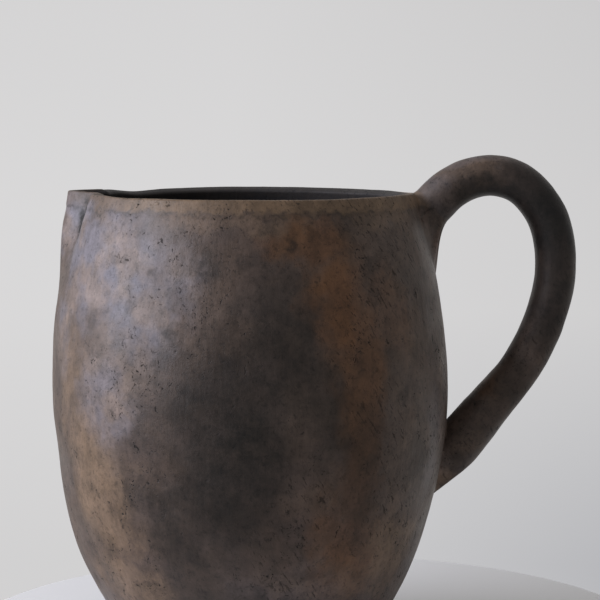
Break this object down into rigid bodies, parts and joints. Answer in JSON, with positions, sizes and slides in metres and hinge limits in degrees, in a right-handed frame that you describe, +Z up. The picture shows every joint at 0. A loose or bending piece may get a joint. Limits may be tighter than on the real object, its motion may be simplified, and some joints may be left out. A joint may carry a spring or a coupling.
{
  "type": "clay pouring jug",
  "caption": "Egg-bodied burnished clay jug with a wide open mouth, a small pinched pouring beak and a tall looped handle rolled from a round coil of clay.",
  "frame": {"origin": "centre of the foot's resting face, on the jug's axis", "axes": "+Z up through the mouth, +X towards the handle, -X towards the pouring beak, +Y to the left of the handle seen from the jug's axis"},
  "size_m": [0.227, 0.17, 0.2144],
  "materials": {
    "foot_clay": "burnished_worn",
    "inner_clay": "matte",
    "lower_wall_clay": "burnished",
    "belly_clay": "burnished",
    "shoulder_clay": "burnished",
    "rim_clay": "burnished",
    "handle_clay": "burnished",
    "luting_clay": "wiped"
  },
  "bodies": {
    "root": {"base_slab": "foot_clay", "base_seam_coil": "inner_clay", "wall_course_1": "lower_wall_clay", "wall_course_2": "lower_wall_clay", "wall_course_3": "belly_clay", "wall_course_4": "belly_clay", "wall_course_5": "shoulder_clay", "rim_coil": "rim_clay", "spout_beak": "rim_clay", "handle_coil": "handle_clay", "handle_root_luting": "luting_clay", "handle_foot_luting": "luting_clay"}
  },
  "joints": []
}
